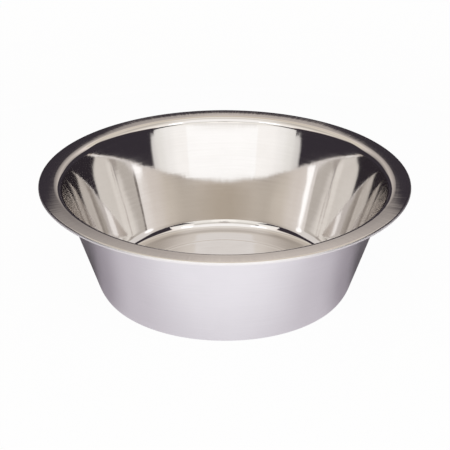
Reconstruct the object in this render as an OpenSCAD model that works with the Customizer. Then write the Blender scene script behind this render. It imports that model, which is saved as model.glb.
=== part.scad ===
// Stainless steel dog bowl: one deep-drawn sheet bowl that stands on a
// rubber ring in the recess of its base.
// Millimetres, +Z up, origin on the table under the middle of the bowl.

/* [Bowl] */
// Diameter over the rolled edge
rim_d = 230; // [180:1:300]
// Height of the steel bowl, from the underside of its foot to the top of its rim
bowl_h = 72.3; // [50:0.5:100]
// Gauge of the sheet, the same all over
sheet_t = 0.6; // [0.4:0.05:0.8]
// Lean of the wall, in degrees from upright
wall_tilt = 18.2; // [8:0.1:28]

/* [Rim] */
// Width of the flat part of the flange
flange_w = 7.8; // [4:0.1:14]
// Bend from the wall to the flange, on the polished side of the sheet
rim_bend_r = 6; // [2:0.1:8]
// Diameter of the rolled edge
edge_d = 2.3; // [2:0.1:4]
// Turn of the rolled edge, in degrees from the flange
edge_turn = 262; // [180:1:270]

/* [Base] */
// Bend from the foot to the wall, on the polished side of the sheet
corner_r = 6.5; // [4:0.1:12]
// Width of the flat ring that is the bowl's foot
foot_w = 13; // [8:0.1:20]
// Rise of the pressed-up middle panel over the foot
panel_rise = 0.9; // [0.5:0.1:2.5]
// Bends of the step between foot and panel, at the middle of the sheet
step_r = 12; // [3:0.5:20]

/* [Non-slip ring] */
// Width of the rubber ring
ring_w = 9; // [5:0.1:14]
// How far the rubber ring stands out below the steel foot
ring_proud = 0.9; // [0.3:0.1:2]
// Gap between the rubber ring and the step around it
ring_gap = 0.6; // [0.2:0.1:2]
// Rounding of the two lower edges of the rubber ring
ring_edge_r = 0.5; // [0.2:0.1:0.8]
// Thickness of the film of adhesive between the rubber ring and the steel
glue_t = 0.2; // [0.1:0.05:0.4]

/* [Hidden] */

half_t = sheet_t / 2;
edge_r = edge_d / 2;

// Heights of the middle of the sheet
foot_z = ring_proud + half_t;
panel_z = foot_z + panel_rise;
rim_z = ring_proud + bowl_h - half_t;

// Centre and middle radius of the rolled edge
edge_mid_r = edge_r - half_t;
edge_x = rim_d / 2 - edge_r;
edge_z = rim_z - edge_mid_r;

// Centre and middle radius of the bend under the flange
bend_mid_r = rim_bend_r - half_t;
bend_x = edge_x - flange_w;
bend_z = rim_z - bend_mid_r;

// Centre and middle radius of the corner, set so that its end and the
// bend's end lie on one line with the wall's lean
corner_mid_r = corner_r + half_t;
corner_z = foot_z + corner_mid_r;
wall_top_x = bend_x - bend_mid_r * cos(wall_tilt);
wall_top_z = bend_z + bend_mid_r * sin(wall_tilt);
wall_low_z = corner_z - corner_mid_r * sin(wall_tilt);
wall_low_x = wall_top_x - (wall_top_z - wall_low_z) * tan(wall_tilt);
corner_x = wall_low_x - corner_mid_r * cos(wall_tilt);

// Step from the foot up to the panel: two equal bends, one over the other
step_turn = acos(1 - panel_rise / (2 * step_r));
step_half_w = step_r * sin(step_turn);
step_out_x = corner_x - foot_w;
panel_x = step_out_x - 2 * step_half_w;

// Rubber ring in the recess under the panel
ring_out_r = panel_x - ring_gap;
ring_in_r = ring_out_r - ring_w;
ring_top_z = panel_z - half_t - glue_t;

// Pieces in which each round stretch of a section is drawn
bend_steps = 12;
curl_steps = 28;
step_steps = 6;
round_steps = 5;
turn_fn = 240;

// Points along an arc of the sheet's middle line. Each is [x, z, nx, nz],
// where nx, nz points to the polished side: away from the arc's centre
// where side is 1, towards it where side is -1.
function sheet_arc(x, z, r, from, to, steps, side) = [
    for (i = [0 : steps])
        let (a = from + (to - from) * i / steps)
            [x + r * cos(a), z + r * sin(a), side * cos(a), side * sin(a)]
];

// Points of a plain arc
function plain_arc(x, z, r, from, to, steps) = [
    for (i = [0 : steps])
        let (a = from + (to - from) * i / steps)
            [x + r * cos(a), z + r * sin(a)]
];

// Middle line of the whole sheet, from the axis to the end of the rolled edge
sheet_line = concat(
    [[0, panel_z, 0, 1]],
    sheet_arc(panel_x, panel_z - step_r, step_r, 90, 90 - step_turn, step_steps, 1),
    sheet_arc(step_out_x, foot_z + step_r, step_r, 270 - step_turn, 270, step_steps, -1),
    sheet_arc(corner_x, corner_z, corner_mid_r, -90, -wall_tilt, bend_steps, -1),
    sheet_arc(bend_x, bend_z, bend_mid_r, 180 - wall_tilt, 90, bend_steps, 1),
    sheet_arc(edge_x, edge_z, edge_mid_r, 90, 90 - edge_turn, curl_steps, 1)
);

// The sheet's middle line moved by a distance towards the polished side
function sheet_side(distance) = [
    for (p = sheet_line) [p[0] + distance * p[2], p[1] + distance * p[3]]
];

// List in the opposite order
function reversed(list) = [for (i = [len(list) - 1 : -1 : 0]) list[i]];

// Bowl pressed from one sheet: panel, foot, wall, flange and rolled edge
module bowl_shell() {
    color([0.80, 0.79, 0.80])
        rotate_extrude($fn = turn_fn)
            polygon(concat(sheet_side(-half_t), reversed(sheet_side(half_t))));
}

// Rubber ring bonded to the underside of the panel, rounded where it
// meets the table
module non_slip_ring() {
    color([0.08, 0.08, 0.08])
        rotate_extrude($fn = turn_fn)
            polygon(concat(
                [[ring_in_r, ring_top_z]],
                plain_arc(ring_in_r + ring_edge_r, ring_edge_r, ring_edge_r, 180, 270, round_steps),
                plain_arc(ring_out_r - ring_edge_r, ring_edge_r, ring_edge_r, 270, 360, round_steps),
                [[ring_out_r, ring_top_z]]
            ));
}

bowl_shell();
non_slip_ring();
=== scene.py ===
"""Stainless dog bowl on a rubber ring, in a light tent.

Metres, +Z up, origin on the table under the middle of the bowl.
"""

import math

import bpy
import numpy as np
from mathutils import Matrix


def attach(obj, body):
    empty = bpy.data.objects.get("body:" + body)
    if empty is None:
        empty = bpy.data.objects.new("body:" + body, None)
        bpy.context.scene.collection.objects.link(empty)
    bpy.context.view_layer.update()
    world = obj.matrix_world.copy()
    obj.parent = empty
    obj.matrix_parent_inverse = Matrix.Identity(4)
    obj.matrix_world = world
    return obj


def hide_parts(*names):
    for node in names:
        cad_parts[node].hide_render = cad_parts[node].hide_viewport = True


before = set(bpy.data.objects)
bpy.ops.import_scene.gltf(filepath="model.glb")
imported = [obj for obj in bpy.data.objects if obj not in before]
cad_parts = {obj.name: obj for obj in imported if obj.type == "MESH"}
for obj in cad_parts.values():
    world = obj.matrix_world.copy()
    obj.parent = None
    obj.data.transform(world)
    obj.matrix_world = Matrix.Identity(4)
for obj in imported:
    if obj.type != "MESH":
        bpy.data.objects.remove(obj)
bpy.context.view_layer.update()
scene = bpy.context.scene
scene.view_settings.view_transform = "Standard"

# Camera
# It stands 0.95 m from the bowl, straight in front of it, and looks down on it by 26 degrees,
# as the photograph's camera does. Light may pass many times from wall to wall inside the bowl.
camera_data = bpy.data.cameras.new("camera")
camera_data.sensor_width = 36.0
camera_data.lens = 118.684
camera = bpy.data.objects.new("camera", camera_data)
camera.location = (0.0, -0.83984, 0.44878)
camera.rotation_euler = [math.radians(turn) for turn in (64.0811, -0.10418, 0.03652)]
scene.collection.objects.link(camera)
scene.camera = camera
wall_to_wall = 32
scene.cycles.max_bounces = wall_to_wall
scene.cycles.glossy_bounces = wall_to_wall

# Bowl
# One pressing of 0.6 mm stainless sheet: panel, step, foot, corner, flared wall, flange and
# rolled edge. It is drawn in a press, then polished inside while it spins, brushed on the flange
# and left satin outside.
mm = 0.001
sheet_thick = 0.6
panel_height = 2.1
rim_height = 72.9
edge_r = 113.81
edge_curl_r = 0.85
bowl_segments = 400
step_turn = math.radians(15.74)
wall_turn = math.radians(71.91)
crown_turn = math.radians(2.1)
flare_turn = math.radians(1.96)
heel_turn = math.radians(14.0)
edge_turn = math.radians(262)
# Joints of the sheet, from the panel outward: two bends of the step, corner, rim bend and crown.
# Each bend has its joint, its distance from it, its turn, its length and the easing of its ends.
bends = [
    (0, 0.0, -step_turn, 5.0, 0.8),
    (1, 0.0, step_turn, 5.0, 0.8),
    (2, 0.0, wall_turn - heel_turn, 6.0, 0.9),
    (2, 4.9, heel_turn, 8.3, 1.0),
    (3, -8.0, -flare_turn, 30.0, 1.0),
    (3, 0.0, crown_turn + flare_turn - wall_turn, 6.8, 0.25),
    (4, 0.0, -crown_turn, 7.5, 1.0),
]
panel_run = 55.0
step_run = 3.32
foot_run = 18.49
wall_run = 75.0
crown_run = 6.19
flange_run = 5.35
line_stride = 0.01


def sheet_line(gaps, bends, at):
    """Middle line of the sheet from the axis outward. Its slope is the sum of the bends' turns so
    far, each growing as u - ease * sin(2 pi u) / (2 pi) over its length, and its places are the
    running sums of cos and sin of the slope. Returns place and slope at the runs in at."""
    runs = np.arange(0, at[-1] + line_stride, line_stride)
    slope = np.zeros_like(runs)
    joints = np.cumsum(gaps)
    for joint, shift, turn, length, ease in bends:
        u = np.clip((runs - joints[joint] - shift) / length + 0.5, 0, 1)
        slope += turn * (u - ease * np.sin(2 * np.pi * u) / (2 * np.pi))
    middle = slope[:-1] + np.diff(slope) / 2
    r = np.concatenate([[0.0], np.cumsum(np.cos(middle) * line_stride)])
    z = np.concatenate([[0.0], np.cumsum(np.sin(middle) * line_stride)])
    places = np.stack([np.interp(at, runs, r), np.interp(at, runs, z) + panel_height], axis=1)
    return places, np.interp(at, runs, slope)


def revolved_mesh(name, x, y, z, poles):
    """Mesh of a grid whose rows are rings round the z axis, row after row along a profile. The last
    point of a ring joins its first. With poles, one point closes the middle of the first and of the
    last ring, and without them the last ring joins the first."""
    rings, turns = x.shape
    points = np.stack([x, y, z], axis=-1).reshape(-1, 3)
    row = np.arange(rings)[:, None] * turns
    here = np.arange(turns)[None]
    there = (here + 1) % turns
    after = np.roll(row, -1, axis=0)
    if poles:
        row, after = row[:-1], after[:-1]
    quads = np.stack([row + here, after + here, after + there, row + there], axis=-1).reshape(-1, 4)
    corner_ids = quads.ravel()
    starts = np.arange(len(quads)) * 4
    if poles:
        ends = np.array([points[:turns].mean(axis=0), points[-turns:].mean(axis=0)])
        first, last = len(points), len(points) + 1
        points = np.concatenate([points, ends])
        fan_in = np.stack([np.full(turns, first), here[0], there[0]], axis=-1)
        bottom = (rings - 1) * turns
        fan_out = np.stack([bottom + here[0], np.full(turns, last), bottom + there[0]], axis=-1)
        fans = np.concatenate([fan_in, fan_out])
        starts = np.concatenate([starts, len(corner_ids) + np.arange(len(fans)) * 3])
        corner_ids = np.concatenate([corner_ids, fans.ravel()])
    mesh = bpy.data.meshes.new(name)
    mesh.vertices.add(len(points))
    mesh.vertices.foreach_set("co", points.ravel().astype(np.float32))
    mesh.loops.add(len(corner_ids))
    mesh.loops.foreach_set("vertex_index", corner_ids.astype(np.int32))
    mesh.polygons.add(len(starts))
    mesh.polygons.foreach_set("loop_start", starts.astype(np.int32))
    mesh.update(calc_edges=True)
    mesh.validate()
    mesh.polygons.foreach_set("use_smooth", np.ones(len(starts), bool))
    piece = bpy.data.objects.new(name, mesh)
    scene.collection.objects.link(piece)
    return piece


# The guessed lengths of the panel and the wall are mended until the flange ends at the rolled edge
gaps = np.array([panel_run, step_run, foot_run, wall_run, crown_run])
for mending in range(3):
    tried, _ = sheet_line(gaps, bends, np.array([gaps.sum() + flange_run]))
    wall_more = (rim_height - tried[0, 1]) / math.sin(wall_turn)
    panel_more = edge_r - tried[0, 0] - wall_more * math.cos(wall_turn)
    gaps += np.array([panel_more, 0, 0, wall_more, 0])
joints = np.cumsum(gaps)
# Rows of the mesh between stops along the sheet, closer together where it bends
pole_r = 2.5
step_reach = 3.0
corner_before = 3.5
corner_after = 9.5
rim_reach = 5.0
stops = [pole_r, joints[0] - step_reach, joints[1] + step_reach]
stops += [joints[2] - corner_before, joints[2] + corner_after]
stops += [joints[3] - rim_reach, joints[3] + rim_reach, gaps.sum() + flange_run]
row_counts = [9, 16, 5, 34, 24, 36, 12]
curl_rows = 26
run = np.concatenate(
    [np.linspace(low, high, n, endpoint=False) for low, high, n in zip(stops, stops[1:], row_counts)]
)
run = np.append(run, stops[-1])
line, slope = sheet_line(gaps, bends, run)
curl = np.linspace(0, edge_turn, curl_rows + 1)[1:]
curl_line = np.stack(
    [edge_r + edge_curl_r * np.sin(curl), rim_height - edge_curl_r * (1 - np.cos(curl))], axis=1
)
line = np.concatenate([line, curl_line])
slope = np.concatenate([slope, -curl])
run = np.concatenate([run, run[-1] + edge_curl_r * curl])
inward = np.stack([-np.sin(slope), np.cos(slope)], axis=1)
food_side = line + inward * sheet_thick / 2
# The outer side takes every second row, back from the rolled edge, whose cut end is half round
outer = np.unique(np.concatenate([np.arange(0, len(line), 2), [len(line) - 1]]))[::-1]
outer_side = line[outer] - inward[outer] * sheet_thick / 2
cut = np.linspace(0, np.pi, 6)[1:-1, None]
cut_edge = line[-1] + sheet_thick / 2 * (
    np.cos(cut) * inward[-1] + np.sin(cut) * np.array([math.cos(slope[-1]), math.sin(slope[-1])])
)
profile = np.concatenate([food_side, cut_edge, outer_side])
profile_run = np.concatenate([run, np.full(len(cut_edge), run[-1]), run[outer]])
profile_in = np.concatenate([inward, np.zeros((len(cut_edge), 2)), inward[outer]])

# The press and the polishing wheel leave the wall faintly uneven: a sum of slow waves, both sides
# of the sheet alike, none at the rim or on the panel.
wave_lobes = (2, 3, 5, 7, 9, 11, 13, 16, 19, 23)
wave_counts = (0.5, 1, 1, 1.5, 2, 2, 3, 3, 4, 4)
wave_height = 0.11
wave_path = 66.0
wave_share = 0.28
uneven_from = 60
uneven_to = 150
uneven_fade = 25
draws = np.random.default_rng(11)
around = np.arange(bowl_segments) * 2 * np.pi / bowl_segments
uneven = np.zeros((len(profile), bowl_segments))
for lobes, waves in zip(wave_lobes, wave_counts):
    shift_a, shift_b = draws.uniform(0, 2 * np.pi, 2)
    height = draws.uniform(0.6, 1.0) * wave_height / lobes**0.8
    path = profile_run[:, None] / wave_path * 2 * np.pi * waves
    uneven += height * np.cos(lobes * around + shift_a) * np.cos(path + shift_b)
bent = np.clip((profile_run - uneven_from) / uneven_fade, 0, 1)
bent = bent * np.clip((uneven_to - profile_run) / uneven_fade, 0, 1)
uneven *= (wave_share * bent * bent * (3 - 2 * bent))[:, None]
radii = profile[:, :1] + profile_in[:, :1] * uneven
heights = profile[:, 1:] + profile_in[:, 1:] * uneven
bowl = revolved_mesh(
    "steel_bowl", radii * np.cos(around) * mm, radii * np.sin(around) * mm, heights * mm, True
)
sheet_run = np.concatenate([np.repeat(profile_run * mm, bowl_segments), [0.0, 0.0]])
bowl.data.attributes.new("sheet_run", "FLOAT", "POINT").data.foreach_set(
    "value", sheet_run.astype(np.float32)
)
# The satin begins near the end of the rolled edge, out of sight. The last faces are the two fans
# at the axis, polished over the panel and satin under it.
satin_curl_rows = 10
satin_rows = np.arange(len(profile) - 1) >= len(food_side) - satin_curl_rows
satin_fans = np.repeat([False, True], bowl_segments)
satin_faces = np.concatenate([np.repeat(satin_rows, bowl_segments), satin_fans])


def node(tree, kind, inputs=None, **settings):
    """Adds a node of that kind, with values or links for its inputs and its other settings."""
    made = tree.nodes.new(kind)
    for key, value in settings.items():
        setattr(made, key, value)
    for key, value in (inputs or {}).items():
        if isinstance(value, bpy.types.NodeSocket):
            tree.links.new(value, made.inputs[key])
        else:
            made.inputs[key].default_value = value
    return made


def maths(tree, operation, *values, clamp=False):
    """Output of a Math node."""
    made = node(tree, "ShaderNodeMath", dict(enumerate(values)), operation=operation)
    made.use_clamp = clamp
    return made.outputs[0]


def vectors(tree, operation, *values):
    """Output of a Vector Math node."""
    made = node(tree, "ShaderNodeVectorMath", dict(enumerate(values)), operation=operation)
    return made.outputs["Value" if operation in ("LENGTH", "DOT_PRODUCT") else "Vector"]


def new_group(name, inputs, outputs):
    """An empty shader node group with these sockets. Returns the tree, its input sockets and its
    output node."""
    tree = bpy.data.node_groups.new(name, "ShaderNodeTree")
    for label, kind in inputs:
        tree.interface.new_socket(label, in_out="INPUT", socket_type="NodeSocket" + kind)
    for label, kind in outputs:
        tree.interface.new_socket(label, in_out="OUTPUT", socket_type="NodeSocket" + kind)
    entry = tree.nodes.new("NodeGroupInput")
    return tree, entry.outputs, tree.nodes.new("NodeGroupOutput")


# Tool marks on spun sheet. Lines up the sheet, left by drawing and brushing, tilt the surface by a
# little that changes quickly round the bowl. Polishing rings change quickly along the sheet.
marks, mark_in, mark_out = new_group(
    "Tool marks",
    [
        ("Place", "Vector"),
        ("Run", "Float"),
        ("Surface normal", "Vector"),
        ("Lines around", "Float"),
        ("Line length", "Float"),
        ("Line tilt", "Float"),
        ("Ring width", "Float"),
        ("Ring tilt", "Float"),
    ],
    [("Normal", "Vector"), ("Rings", "Float")],
)
split = node(marks, "ShaderNodeSeparateXYZ", {0: mark_in["Place"]}).outputs
flat = node(marks, "ShaderNodeCombineXYZ", {0: split[0], 1: split[1]}).outputs[0]
outward = vectors(marks, "NORMALIZE", flat)
reach = vectors(marks, "LENGTH", flat)
spoke = node(marks, "ShaderNodeSeparateXYZ", {0: outward}).outputs
round_way = node(
    marks, "ShaderNodeCombineXYZ", {0: maths(marks, "MULTIPLY", spoke[1], -1.0), 1: spoke[0]}
).outputs[0]
up_way = vectors(marks, "CROSS_PRODUCT", mark_in["Surface normal"], round_way)
line_place = node(
    marks,
    "ShaderNodeCombineXYZ",
    {
        0: maths(marks, "MULTIPLY", spoke[0], mark_in["Lines around"]),
        1: maths(marks, "MULTIPLY", spoke[1], mark_in["Lines around"]),
        2: maths(marks, "DIVIDE", mark_in["Run"], mark_in["Line length"]),
    },
).outputs[0]
line_noise = node(
    marks, "ShaderNodeTexNoise", {"Vector": line_place, "Scale": 1.0, "Detail": 3.0, "Roughness": 0.6}
)
ring_place = node(
    marks,
    "ShaderNodeCombineXYZ",
    {
        0: maths(marks, "MULTIPLY", spoke[0], 2.0),
        1: maths(marks, "MULTIPLY", spoke[1], 2.0),
        2: maths(marks, "DIVIDE", mark_in["Run"], mark_in["Ring width"]),
    },
).outputs[0]
ring_noise = node(
    marks, "ShaderNodeTexNoise", {"Vector": ring_place, "Scale": 1.0, "Detail": 2.0, "Roughness": 0.6}
)
# The marks fade out towards the axis, over the last 25 mm
away = maths(marks, "MULTIPLY", reach, 40.0, clamp=True)
sides = node(marks, "ShaderNodeSeparateColor", {0: line_noise.outputs["Color"]}).outputs
tilt_up = maths(marks, "MULTIPLY", maths(marks, "SUBTRACT", sides[0], 0.5), mark_in["Line tilt"])
tilt_ring = maths(
    marks, "MULTIPLY", maths(marks, "SUBTRACT", ring_noise.outputs[0], 0.5), mark_in["Ring tilt"]
)
tilt_up = maths(marks, "MULTIPLY", maths(marks, "ADD", tilt_up, tilt_ring), away)
tilt_round = maths(marks, "MULTIPLY", maths(marks, "SUBTRACT", sides[1], 0.5), mark_in["Line tilt"])
tilt_round = maths(marks, "MULTIPLY", tilt_round, away)
up_push = node(marks, "ShaderNodeVectorMath", {0: up_way, "Scale": tilt_up}, operation="SCALE")
round_push = node(
    marks, "ShaderNodeVectorMath", {0: round_way, "Scale": tilt_round}, operation="SCALE"
)
pushed = vectors(marks, "ADD", up_push.outputs[0], round_push.outputs[0])
tilted = vectors(marks, "NORMALIZE", vectors(marks, "ADD", mark_in["Surface normal"], pushed))
marks.links.new(tilted, mark_out.inputs["Normal"])
marks.links.new(ring_noise.outputs[0], mark_out.inputs["Rings"])


def ranged(tree, value, low, high, to_low, to_high):
    """Smooth change from to_low to to_high while value goes from low to high."""
    made = node(
        tree,
        "ShaderNodeMapRange",
        {0: value, 1: low, 2: high, 3: to_low, 4: to_high},
        interpolation_type="SMOOTHSTEP",
    )
    return made.outputs[0]


def blended(tree, below, over, mask):
    """Colour over laid on colour below where the mask is 1."""
    made = node(tree, "ShaderNodeMix", {"Factor": mask}, data_type="RGBA")
    for slot, value in ((6, below), (7, over)):
        if isinstance(value, bpy.types.NodeSocket):
            tree.links.new(value, made.inputs[slot])
        else:
            made.inputs[slot].default_value = (*value, 1.0)
    return made.outputs[2]


# Places along the sheet at which the flange's brushing and the rolled edge's rubbed lip begin and are
# full. The lip's lighter colour is a painted highlight.
flange_start = 0.150
flange_full = 0.156
lip_start = stops[-1] * mm + 0.0002
lip_full = stops[-1] * mm + 0.0009
painted_lip_highlight = (0.91, 0.895, 0.90)
lip_dulling = 0.44
flange_line_tilt = 3.6
deep_dulling = 0.13


def steel_material(name, tint, shade, mark_values, roughness, flange_roughness, stretch):
    """Bare steel with tool marks. Its colour swings between tint and shade with the marks, and turns
    lighter on the rolled edge's lip as a painted highlight. Its roughness changes from the wall's to
    the flange's along the sheet, and is more on the rolled edge. In an image that steel mirrors in
    steel, the marks are left out and a blur that grows with each further mirroring stands for them."""
    material = bpy.data.materials.new(name)
    material.use_nodes = True
    tree = material.node_tree
    shader = tree.nodes["Principled BSDF"]
    place = node(tree, "ShaderNodeTexCoord").outputs["Object"]
    along = node(tree, "ShaderNodeAttribute", attribute_name="sheet_run").outputs["Fac"]
    surface = node(tree, "ShaderNodeNewGeometry").outputs["Normal"]
    tool = node(tree, "ShaderNodeGroup", node_tree=marks)
    for label, socket in (("Place", place), ("Run", along), ("Surface normal", surface)):
        tree.links.new(socket, tool.inputs[label])
    for label, value in mark_values.items():
        tool.inputs[label].default_value = value
    flange = ranged(tree, along, flange_start, flange_full, 0.0, 1.0)
    wall_tilt = mark_values["Line tilt"]
    line_tilt = node(
        tree,
        "ShaderNodeMapRange",
        {0: flange, 1: 0.0, 2: 1.0, 3: wall_tilt, 4: wall_tilt * flange_line_tilt},
    ).outputs[0]
    depth = node(tree, "ShaderNodeLightPath").outputs["Ray Depth"]
    direct = maths(tree, "LESS_THAN", depth, 0.5)
    tree.links.new(maths(tree, "MULTIPLY", line_tilt, direct), tool.inputs["Line tilt"])
    ring_tilt = maths(tree, "MULTIPLY", direct, mark_values["Ring tilt"])
    tree.links.new(ring_tilt, tool.inputs["Ring tilt"])
    cloud = node(
        tree, "ShaderNodeTexNoise", {"Vector": place, "Scale": 26.0, "Detail": 3.0, "Roughness": 0.55}
    ).outputs[0]
    grey = maths(tree, "ADD", maths(tree, "MULTIPLY", tool.outputs["Rings"], 0.5), cloud)
    grey = ranged(tree, grey, 0.55, 0.95, 0.0, 1.0)
    lip = ranged(tree, along, lip_start, lip_full, 0.0, 1.0)
    # Towards the lip the colour turns lighter: a painted highlight on the rolled edge
    colour = blended(tree, blended(tree, shade, tint, grey), painted_lip_highlight, lip)
    tree.links.new(colour, shader.inputs["Base Color"])
    rough = maths(
        tree, "ADD", maths(tree, "MULTIPLY", flange, flange_roughness - roughness), roughness
    )
    rough = maths(tree, "ADD", rough, maths(tree, "MULTIPLY", lip, lip_dulling))
    blur = node(
        tree, "ShaderNodeMapRange", {0: depth, 1: 1.0, 2: 5.0, 3: 0.0, 4: deep_dulling}
    ).outputs[0]
    rough = maths(tree, "ADD", rough, blur)
    speck = maths(tree, "MULTIPLY", maths(tree, "SUBTRACT", tool.outputs["Rings"], 0.5), 0.06)
    tree.links.new(maths(tree, "ADD", rough, speck), shader.inputs["Roughness"])
    tree.links.new(tool.outputs["Normal"], shader.inputs["Normal"])
    tangent = node(tree, "ShaderNodeTangent", direction_type="RADIAL", axis="Z")
    tree.links.new(tangent.outputs[0], shader.inputs["Tangent"])
    shader.inputs["Metallic"].default_value = 1.0
    shader.inputs["Anisotropic"].default_value = stretch
    shader.inputs["Anisotropic Rotation"].default_value = 0.25
    return material


polished_steel = steel_material(
    "polished_steel",
    (0.745, 0.722, 0.708),
    (0.715, 0.690, 0.674),
    {
        "Lines around": 110.0,
        "Line length": 0.03,
        "Line tilt": 0.010,
        "Ring width": 0.0012,
        "Ring tilt": 0.008,
    },
    0.050,
    0.075,
    0.65,
)
satin_steel = steel_material(
    "satin_steel",
    (0.83, 0.82, 0.84),
    (0.80, 0.79, 0.81),
    {
        "Lines around": 60.0,
        "Line length": 0.02,
        "Line tilt": 0.03,
        "Ring width": 0.0008,
        "Ring tilt": 0.04,
    },
    0.30,
    0.30,
    0.50,
)
bowl.data.materials.append(polished_steel)
bowl.data.materials.append(satin_steel)
bowl.data.polygons.foreach_set("material_index", satin_faces.astype(np.int32))
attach(bowl, "root")
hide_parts("bowl_shell")

# Non-slip ring
# A flat ring of moulded black rubber, bonded under the panel. It carries the bowl, and its two
# lower edges are rounded.
ring_inner_r = 44.317
ring_outer_r = 53.317
ring_top_height = 1.6
ring_low_round = 0.5
ring_top_round = 0.15
ring_segments = 288


def rounded_section(left, right, low, high, low_round, top_round, steps):
    """Section of a flat ring, from its top inner corner down and about: straight sides and four
    quarter circles, as a closed row of radius and height."""
    corners = (
        (left + top_round, high - top_round, top_round, 90),
        (left + low_round, low + low_round, low_round, 180),
        (right - low_round, low + low_round, low_round, 270),
        (right - top_round, high - top_round, top_round, 0),
    )
    rows = []
    for r, z, size, start in corners:
        turn = np.radians(start + np.linspace(0, 90, steps + 1))
        rows.append(np.stack([r + size * np.cos(turn), z + size * np.sin(turn)], axis=1))
    return np.concatenate(rows)


ring_section = rounded_section(
    ring_inner_r, ring_outer_r, 0.0, ring_top_height, ring_low_round, ring_top_round, 6
)
ring_around = np.arange(ring_segments) * 2 * np.pi / ring_segments
ring = revolved_mesh(
    "rubber_ring",
    ring_section[:, :1] * np.cos(ring_around) * mm,
    ring_section[:, :1] * np.sin(ring_around) * mm,
    ring_section[:, 1:] * np.ones_like(ring_around) * mm,
    False,
)
rubber = bpy.data.materials.new("black_rubber")
rubber.use_nodes = True
rubber_tree = rubber.node_tree
rubber_shader = rubber_tree.nodes["Principled BSDF"]
rubber_place = node(rubber_tree, "ShaderNodeTexCoord").outputs["Object"]
rubber_grain = node(
    rubber_tree, "ShaderNodeTexNoise", {"Vector": rubber_place, "Scale": 900.0, "Detail": 3.0}
).outputs[0]
rubber_dust = node(
    rubber_tree, "ShaderNodeTexNoise", {"Vector": rubber_place, "Scale": 60.0, "Detail": 4.0}
).outputs[0]
rubber_black = (0.022, 0.022, 0.024)
rubber_dusty = (0.042, 0.042, 0.044)
rubber_colour = blended(rubber_tree, rubber_black, rubber_dusty, rubber_dust)
rubber_tree.links.new(rubber_colour, rubber_shader.inputs["Base Color"])
rubber_tree.links.new(
    ranged(rubber_tree, rubber_dust, 0.3, 0.7, 0.62, 0.78), rubber_shader.inputs["Roughness"]
)
rubber_bump = node(
    rubber_tree, "ShaderNodeBump", {"Strength": 0.35, "Distance": 0.0001, "Height": rubber_grain}
)
rubber_tree.links.new(rubber_bump.outputs[0], rubber_shader.inputs["Normal"])
ring.data.materials.append(rubber)
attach(ring, "root")
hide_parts("non_slip_ring")

# Floor
# A sheet of pale paper on the table. The camera sees it nearly white, with a trace of the bowl's
# shadow. To the steel it glows mostly with painted light and shade: white in front of the bowl,
# grey beside it, and pale again close behind it, as if the tent's back wall lit it.
floor_radius = 1.6
floor_thick = 0.004
floor_segments = 96
floor_shares = np.array([0.02, 0.2, 0.5, 1.0, 1.0])
floor_rings = floor_shares[:, None] * floor_radius
floor_around = np.arange(floor_segments) * 2 * np.pi / floor_segments
floor_drop = np.array([0.0, 0.0, 0.0, 0.0, -floor_thick])[:, None]
floor = revolved_mesh(
    "floor",
    floor_rings * np.cos(floor_around),
    floor_rings * np.sin(floor_around),
    floor_drop * np.ones_like(floor_around),
    True,
)


def colour_steps(tree, value, stops):
    """Colours along a value from 0 to 1, smooth between stops and also through them where they are
    many. The ramp holds them at half strength, so that they may exceed 1."""
    ramp = node(tree, "ShaderNodeValToRGB", {0: value})
    ramp.color_ramp.interpolation = "B_SPLINE" if len(stops) > 6 else "EASE"
    elements = ramp.color_ramp.elements
    while len(elements) < len(stops):
        elements.new(0.5)
    for element, (place, colour) in zip(elements, stops):
        element.position = place
        element.color = (*[c / 2 for c in colour], 1.0)
    doubled = node(
        tree, "ShaderNodeVectorMath", {0: ramp.outputs[0], "Scale": 2.0}, operation="SCALE"
    )
    return doubled.outputs[0]


paper = bpy.data.materials.new("pale_paper")
paper.use_nodes = True
paper_tree = paper.node_tree
paper_shader = paper_tree.nodes["Principled BSDF"]
paper_shader.inputs["Roughness"].default_value = 0.9
paper_shader.inputs["Specular IOR Level"].default_value = 0.1
paper_place = node(paper_tree, "ShaderNodeTexCoord").outputs["Object"]
paper_split = node(paper_tree, "ShaderNodeSeparateXYZ", {0: paper_place}).outputs
paper_flat = node(
    paper_tree, "ShaderNodeCombineXYZ", {0: paper_split[0], 1: paper_split[1]}
).outputs[0]
paper_reach = vectors(paper_tree, "LENGTH", paper_flat)
paper_toward = maths(paper_tree, "MULTIPLY", paper_split[1], -1.0)
paper_front = maths(paper_tree, "DIVIDE", paper_toward, paper_reach)
# Painted light and shade on the paper, with which it glows to the steel: by the way round from the
# side to the front, a rise just outside the bowl, a faint light far off, and the light close behind
# the bowl
paper_painted_light = node(
    paper_tree, "ShaderNodeMapRange", {0: paper_front, 1: -0.04, 2: 1.0, 3: 0.08, 4: 1.0}
).outputs[0]
paper_rise = node(
    paper_tree, "ShaderNodeMapRange", {0: paper_reach, 1: 0.085, 2: 0.135, 3: 0.82, 4: 1.02}
).outputs[0]
paper_painted_light = maths(paper_tree, "MULTIPLY", paper_painted_light, paper_rise)
paper_far = maths(
    paper_tree,
    "MULTIPLY",
    ranged(paper_tree, paper_reach, 0.12, 0.26, 0.0, 1.0),
    ranged(paper_tree, paper_front, -0.5, 0.0, 0.0, 1.0),
)
paper_painted_light = maths(paper_tree, "MAXIMUM", paper_painted_light, paper_far)
paper_back = maths(
    paper_tree,
    "MULTIPLY",
    ranged(paper_tree, paper_reach, 0.16, 0.21, 0.70, 0.0),
    ranged(paper_tree, paper_front, -0.75, -0.25, 1.0, 0.0),
)
paper_painted_light = maths(paper_tree, "MAXIMUM", paper_painted_light, paper_back)
paper_painted_tone = colour_steps(
    paper_tree,
    paper_painted_light,
    [
        (0.0, (0.03, 0.025, 0.03)),
        (0.3, (0.355, 0.32, 0.355)),
        (0.6, (0.665, 0.625, 0.665)),
        (1.0, (1.02, 1.0, 1.03)),
    ],
)
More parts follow.
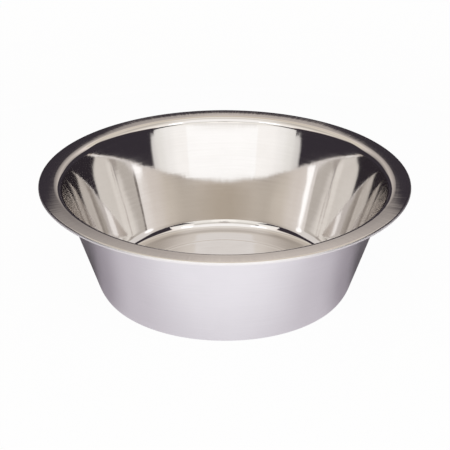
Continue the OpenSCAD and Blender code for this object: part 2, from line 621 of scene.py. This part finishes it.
paper_path = node(paper_tree, "ShaderNodeLightPath").outputs
# The paper glows white to the camera, and with the painted light and shade to the steel
paper_seen = blended(paper_tree, paper_painted_tone, (1.0, 1.0, 1.0), paper_path["Is Camera Ray"])
paper_shader.inputs["Base Color"].default_value = (0.90, 0.88, 0.90, 1.0)
paper_glow = node(paper_tree, "ShaderNodeEmission", {"Color": paper_seen, "Strength": 1.0})
glow_to_camera = maths(paper_tree, "MULTIPLY", paper_path["Is Camera Ray"], 0.97)
glow_to_steel = maths(paper_tree, "MULTIPLY", paper_path["Is Glossy Ray"], 0.94)
paper_mix = node(
    paper_tree,
    "ShaderNodeMixShader",
    {
        0: maths(paper_tree, "MAXIMUM", glow_to_camera, glow_to_steel),
        1: paper_shader.outputs[0],
        2: paper_glow.outputs[0],
    },
)
paper_tree.links.new(paper_mix.outputs[0], paper_tree.nodes["Material Output"].inputs["Surface"])
floor.data.materials.append(paper)

# Light tent
# White cloth lit from outside, all round and over the bowl, with a white card low in front, dark
# skirts low beside and behind, and a few lamps that show through the cloth. Angle around is 0 at
# the camera and grows to the right, and height is the angle above the table, both in degrees.
card, card_in, card_out = new_group(
    "Soft panel",
    [
        ("Around", "Float"),
        ("Height", "Float"),
        ("From", "Float"),
        ("To", "Float"),
        ("Low", "Float"),
        ("High", "Float"),
        ("Soft", "Float"),
    ],
    [("Mask", "Float")],
)


def soft_edge(tree, value, edge, soft, rising):
    """0 to 1 over the softness about an edge, rising or falling."""
    gap = maths(tree, "SUBTRACT", value, edge) if rising else maths(tree, "SUBTRACT", edge, value)
    share = maths(tree, "ADD", maths(tree, "DIVIDE", gap, soft), 0.5, clamp=True)
    return ranged(tree, share, 0.0, 1.0, 0.0, 1.0)


card_mask = soft_edge(card, card_in["Around"], card_in["From"], card_in["Soft"], True)
for label, edge_label, rising in (
    ("Around", "To", False),
    ("Height", "Low", True),
    ("Height", "High", False),
):
    side = soft_edge(card, card_in[label], card_in[edge_label], card_in["Soft"], rising)
    card_mask = maths(card, "MULTIPLY", card_mask, side)
card.links.new(card_mask, card_out.inputs["Mask"])

tent = bpy.data.worlds.new("light_tent")
scene.world = tent
tent.use_nodes = True
sky = tent.node_tree
sky_way = vectors(sky, "NORMALIZE", node(sky, "ShaderNodeTexCoord").outputs["Generated"])
sky_split = node(sky, "ShaderNodeSeparateXYZ", {0: sky_way}).outputs
toward_camera = maths(sky, "MULTIPLY", sky_split[1], -1.0)
sky_around = maths(
    sky, "MULTIPLY", maths(sky, "ARCTAN2", sky_split[0], toward_camera), 180 / math.pi
)
sky_height = maths(sky, "MULTIPLY", maths(sky, "ARCSINE", sky_split[2]), 180 / math.pi)
sky_aside = maths(sky, "ABSOLUTE", sky_around)


def panel(low_around, high_around, low, high, soft):
    """Mask of a soft-edged panel of the tent."""
    made = node(
        sky,
        "ShaderNodeGroup",
        {
            "Around": sky_around,
            "Height": sky_height,
            "From": low_around,
            "To": high_around,
            "Low": low,
            "High": high,
            "Soft": soft,
        },
        node_tree=card,
    )
    return made.outputs["Mask"]


# Cloth of the walls, roof and top, by how far round from the camera it hangs
sky_back = maths(sky, "DIVIDE", sky_aside, 180.0)
cloth = colour_steps(
    sky,
    sky_back,
    [
        (0.10, (1.25, 1.24, 1.23)),
        (0.22, (1.30, 1.27, 1.24)),
        (0.34, (1.15, 1.10, 1.04)),
        (0.48, (1.00, 0.94, 0.84)),
        (0.62, (0.87, 0.81, 0.71)),
        (0.95, (0.77, 0.70, 0.59)),
    ],
)
roof = colour_steps(
    sky,
    sky_back,
    [
        (0.10, (1.22, 1.19, 1.15)),
        (0.26, (1.12, 1.08, 1.02)),
        (0.36, (0.92, 0.87, 0.81)),
        (0.44, (0.76, 0.71, 0.65)),
        (0.52, (0.64, 0.59, 0.53)),
        (0.62, (0.64, 0.59, 0.53)),
        (0.73, (0.96, 0.90, 0.82)),
        (0.90, (0.76, 0.68, 0.57)),
    ],
)
light = blended(sky, cloth, roof, ranged(sky, sky_height, 40.0, 56.0, 0.0, 1.0))
top_front = (0.88, 0.84, 0.78)
top_back = (1.04, 1.0, 0.95)
top_light = blended(sky, top_front, top_back, ranged(sky, sky_aside, 80.0, 110.0, 0.0, 1.0))
light = blended(sky, light, top_light, ranged(sky, sky_height, 67.0, 75.0, 0.0, 1.0))


def spot(around, height, half_width, half_height):
    """Mask of a soft oval of the tent."""
    across = maths(sky, "DIVIDE", maths(sky, "SUBTRACT", sky_around, around), half_width)
    upward = maths(sky, "DIVIDE", maths(sky, "SUBTRACT", sky_height, height), half_height)
    far = maths(
        sky, "ADD", maths(sky, "MULTIPLY", across, across), maths(sky, "MULTIPLY", upward, upward)
    )
    return ranged(sky, far, 0.4, 1.0, 1.0, 0.0)


# Cloth over the camera, front wall with its bright middle, and the dim bar between wall and cloth
for colour, place in (
    ((1.24, 1.23, 1.22), (-38.0, 38.0, 36.0, 65.0, 6.0)),
    ((1.13, 1.11, 1.06), (-50.0, 50.0, -10.0, 31.0, 4.0)),
    ((1.28, 1.26, 1.21), (-12.0, 12.0, -10.0, 31.0, 6.0)),
    ((0.84, 0.81, 0.76), (-32.0, 31.0, 30.6, 36.3, 2.0)),
):
    light = blended(sky, light, colour, panel(*place))
# Lamps behind the cloth, and darker things before it
for around, height, half_width, half_height, colour in (
    (0.0, 33.0, 7.0, 4.0, (0.66, 0.62, 0.58)),
    (-37.0, 42.0, 11.0, 6.2, (1.98, 2.04, 2.08)),
    (40.5, 41.0, 7.0, 8.5, (1.98, 2.04, 2.08)),
    (-33.0, 34.7, 2.6, 2.2, (0.30, 0.27, 0.25)),
    (0.6, 29.7, 1.8, 1.3, (0.58, 0.55, 0.53)),
    (-1.5, 27.6, 1.5, 1.2, (0.88, 0.84, 0.80)),
    (4.5, 28.7, 1.5, 1.0, (0.90, 0.86, 0.82)),
):
    light = blended(sky, light, colour, spot(around, height, half_width, half_height))
# Lower part of the front wall, which dims to the sides, a faint band over it, and the white card
flank = colour_steps(
    sky,
    sky_back,
    [
        (0.00, (1.23, 1.22, 1.20)),
        (0.15, (1.27, 1.26, 1.24)),
        (0.20, (1.25, 1.24, 1.22)),
        (0.24, (1.16, 1.15, 1.13)),
        (0.28, (1.04, 1.03, 1.00)),
        (0.32, (0.84, 0.82, 0.80)),
    ],
)
light = blended(sky, light, flank, panel(-70.0, 70.0, -10.0, 16.5, 0.8))
light = blended(sky, light, (1.02, 1.00, 0.98), panel(-24.0, 24.0, 16.8, 18.6, 1.0))
light = blended(sky, light, (1.34, 1.35, 1.35), panel(-24.5, 28.5, -10.0, 16.2, 1.2))
# The skirts' front edges slant: they come forward as they rise
edge_foot = 9.0


def slanted_edge(low_around, low_slope, bend_height, high_slope):
    """Angle aside of a skirt's front edge: low_around at its foot, then forward by low_slope for
    each degree up, and by high_slope more over the bend's height."""
    low_part = maths(sky, "MULTIPLY", maths(sky, "SUBTRACT", sky_height, edge_foot), low_slope)
    over_bend = maths(sky, "MAXIMUM", maths(sky, "SUBTRACT", sky_height, bend_height), 0.0)
    high_part = maths(sky, "MULTIPLY", over_bend, high_slope)
    return maths(sky, "SUBTRACT", low_around, maths(sky, "ADD", low_part, high_part))


right_edge = slanted_edge(57.0, 0.45, 12.0, 1.38)
left_edge = slanted_edge(58.7, 0.4, 11.4, 1.33)
on_right = maths(sky, "GREATER_THAN", sky_around, 0.0)
skirt_edge = maths(
    sky,
    "ADD",
    maths(sky, "MULTIPLY", right_edge, on_right),
    maths(sky, "MULTIPLY", left_edge, maths(sky, "SUBTRACT", 1.0, on_right)),
)
skirt_top = ranged(sky, sky_aside, 42.0, 60.0, 26.3, 24.0)
skirt = maths(
    sky,
    "MULTIPLY",
    ranged(sky, maths(sky, "SUBTRACT", sky_aside, skirt_edge), -1.2, 1.2, 0.0, 1.0),
    ranged(sky, maths(sky, "SUBTRACT", sky_height, skirt_top), 0.0, 1.4, 1.0, 0.0),
)
skirt_dark = (0.045, 0.038, 0.048)
light = blended(sky, light, skirt_dark, skirt)
sky_path = node(sky, "ShaderNodeLightPath").outputs
sky_white = maths(sky, "MAXIMUM", sky_path["Is Camera Ray"], sky_path["Is Transmission Ray"])
light = blended(sky, light, (1.0, 1.0, 1.0), sky_white)
sky_shader = sky.nodes["Background"]
sky.links.new(light, sky_shader.inputs["Color"])

# Dark screens
# Dark cloth with pale cloth over it, hung 0.35 m from the bowl's axis, beside and behind it, and
# hidden from the camera. Behind the bowl the dark part's edge is lowest in the middle, and the
# flange mirrors it. Beside the bowl the dark part stands over the skirts.
screen_radius = 0.35


def eased(share):
    """0 to 1, smooth at both ends."""
    share = np.clip(share, 0, 1)
    return share * share * (3 - 2 * share)


def screen_piece(name, turns, levels, light):
    """Part of the screens' cylinder, from angles round the z axis, heights over the rim and the
    light of its cloth at each place. It glows with that light and hides nothing from the camera."""
    x = screen_radius * np.cos(turns) * np.ones_like(levels)
    y = screen_radius * np.sin(turns) * np.ones_like(levels)
    points = np.stack([x, y, levels + rim_height * mm], axis=-1).reshape(-1, 3)
    row_count, turn_count = x.shape
    low_left = (np.arange(row_count - 1)[:, None] * turn_count + np.arange(turn_count - 1)).ravel()
    quads = np.stack(
        [low_left, low_left + 1, low_left + turn_count + 1, low_left + turn_count], axis=-1
    )
    mesh = bpy.data.meshes.new(name)
    mesh.from_pydata(points.tolist(), [], quads.tolist())
    mesh.attributes.new("cloth_light", "FLOAT", "POINT").data.foreach_set(
        "value", light.ravel().astype(np.float32)
    )
    piece = bpy.data.objects.new(name, mesh)
    scene.collection.objects.link(piece)
    piece.visible_camera = False
    piece.visible_shadow = False
    mesh.materials.append(screen_cloth)


screen_cloth = bpy.data.materials.new("screen_cloth")
screen_cloth.use_nodes = True
screen_tree = screen_cloth.node_tree
screen_share = node(screen_tree, "ShaderNodeAttribute", attribute_name="cloth_light").outputs["Fac"]
screen_warm = node(
    screen_tree,
    "ShaderNodeVectorMath",
    {0: (1.08, 0.99, 0.90), "Scale": screen_share},
    operation="SCALE",
).outputs[0]
screen_light = vectors(screen_tree, "ADD", screen_warm, skirt_dark)
screen_glow = node(screen_tree, "ShaderNodeEmission", {"Color": screen_light, "Strength": 1.0})
screen_tree.links.new(screen_glow.outputs[0], screen_tree.nodes["Material Output"].inputs["Surface"])
# Behind the bowl: height of the dark part's edge over the rim, its softness, the light of the
# cloth just over the edge and the light higher up
rear_turns = np.radians(np.linspace(47, 133, 173))
rear_levels = np.linspace(-0.07, 0.29, 145)[:, None] * np.ones_like(rear_turns)
rear_aside = np.abs(screen_radius * np.cos(rear_turns))
rear_edge = np.interp(
    rear_aside, [0, 0.04, 0.08, 0.12, 0.16, 0.24], [0.104, 0.105, 0.106, 0.142, 0.182, 0.215]
)
rear_soft = np.interp(rear_aside, [0.08, 0.125], [0.010, 0.030])
rear_low = np.interp(
    screen_radius * np.cos(rear_turns),
    [-0.17, -0.12, -0.08, -0.04, 0, 0.04, 0.08, 0.12, 0.17],
    [0.19, 0.20, 0.36, 0.46, 0.59, 0.50, 0.43, 0.29, 0.27],
)
rear_high = np.interp(
    rear_levels, [0.15, 0.212, 0.236, 0.26, 0.29], [0.60, 0.57, 0.62, 0.80, 0.92]
)
rear_high = rear_high * (1 - 0.22 * eased(-np.cos(rear_turns) * screen_radius / 0.06))
rear_cloth = rear_low + (rear_high - rear_low) * eased((rear_levels - 0.15) / 0.09)
rear_light = rear_cloth * eased((rear_levels - rear_edge) / rear_soft + 0.5)
screen_piece("rear_screen", rear_turns, rear_levels, rear_light)
# Beside the bowl: the front edge is 60 degrees round from the camera's side and fades into the
# cloth in its upper part, and so does the upper edge, all along
side_foot = 0.09
side_columns = 78
side_rows = 40
for name, turn_from, turn_to in (("right_screen", -30.0, 47.0), ("left_screen", 210.0, 133.0)):
    side_turns = np.radians(np.linspace(turn_from, turn_to, side_columns))
    side_back = np.linspace(0, 1, side_columns)
    side_top = np.interp(
        side_back, [0.0, 0.08, 0.23, 0.39, 0.7, 1.0], [0.27, 0.29, 0.31, 0.34, 0.36, 0.37]
    )
    side_levels = side_foot + (side_top - side_foot) * np.linspace(0, 1, side_rows)[:, None]
    side_cloth = np.interp(side_back, [0.0, 0.3, 0.7, 1.0], [1.05, 0.95, 0.82, 0.72])
    side_fade = eased(1.0 - side_back / 0.05) * eased((side_levels - 0.19) / 0.04)
    side_light = side_cloth * np.maximum(eased((side_levels - side_top) / 0.08 + 1.0), side_fade)
    screen_piece(name, side_turns, side_levels, side_light)
